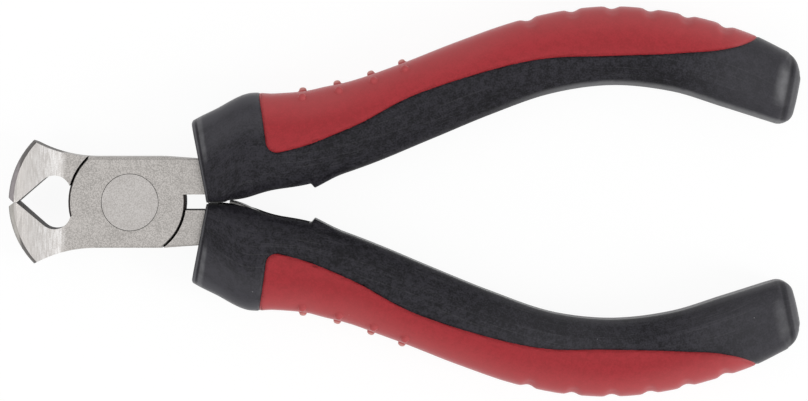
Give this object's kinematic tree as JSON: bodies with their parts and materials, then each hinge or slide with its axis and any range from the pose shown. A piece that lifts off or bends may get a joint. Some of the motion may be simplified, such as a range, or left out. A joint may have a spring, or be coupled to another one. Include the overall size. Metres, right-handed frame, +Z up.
{
  "type": "end cutting nippers",
  "caption": "Small end cutting nippers with a flared head, lapped joint on a flush rivet, double leaf spring and bowed two-material grips with bumps and scallops.",
  "frame": {"origin": "middle of the tool's length and width, on the surface it lies on with closed jaws", "axes": "+X from the jaws to the handle ends, +Y to the upper handle's side, +Z up from the surface, along the pivot axis"},
  "size_m": [0.1153, 0.0564, 0.0116],
  "materials": {
    "forged_steel": "fine blasted tool steel, brighter ground faces at the jaws",
    "rivet_steel": "ground flush with the joint",
    "spring_steel": "dark hardened strip",
    "grip_black": "fine satin texture, black",
    "grip_red": "soft matte, red"
  },
  "bodies": {
    "lower_half": {"lever_lower": "forged_steel", "pivot_rivet": "rivet_steel", "sleeve_lower": "grip_black", "inlay_lower": "grip_red", "leaf_spring_lower": "spring_steel", "spring_rivet_lower": "rivet_steel"},
    "upper_half": {"lever_upper": "forged_steel", "sleeve_upper": "grip_black", "inlay_upper": "grip_red", "leaf_spring_upper": "spring_steel", "spring_rivet_upper": "rivet_steel"}
  },
  "joints": [
    {"name": "jaws_open", "type": "hinge", "parent": "lower_half", "child": "upper_half", "pos_m": [-0.0398, 0, 0.0058], "axis": [0, 0, 1], "range_deg": [0, 25], "stiffness_Nm_per_rad": 0.5, "springref_deg": 25, "deforming": ["leaf_spring_upper", "leaf_spring_lower"]}
  ]
}
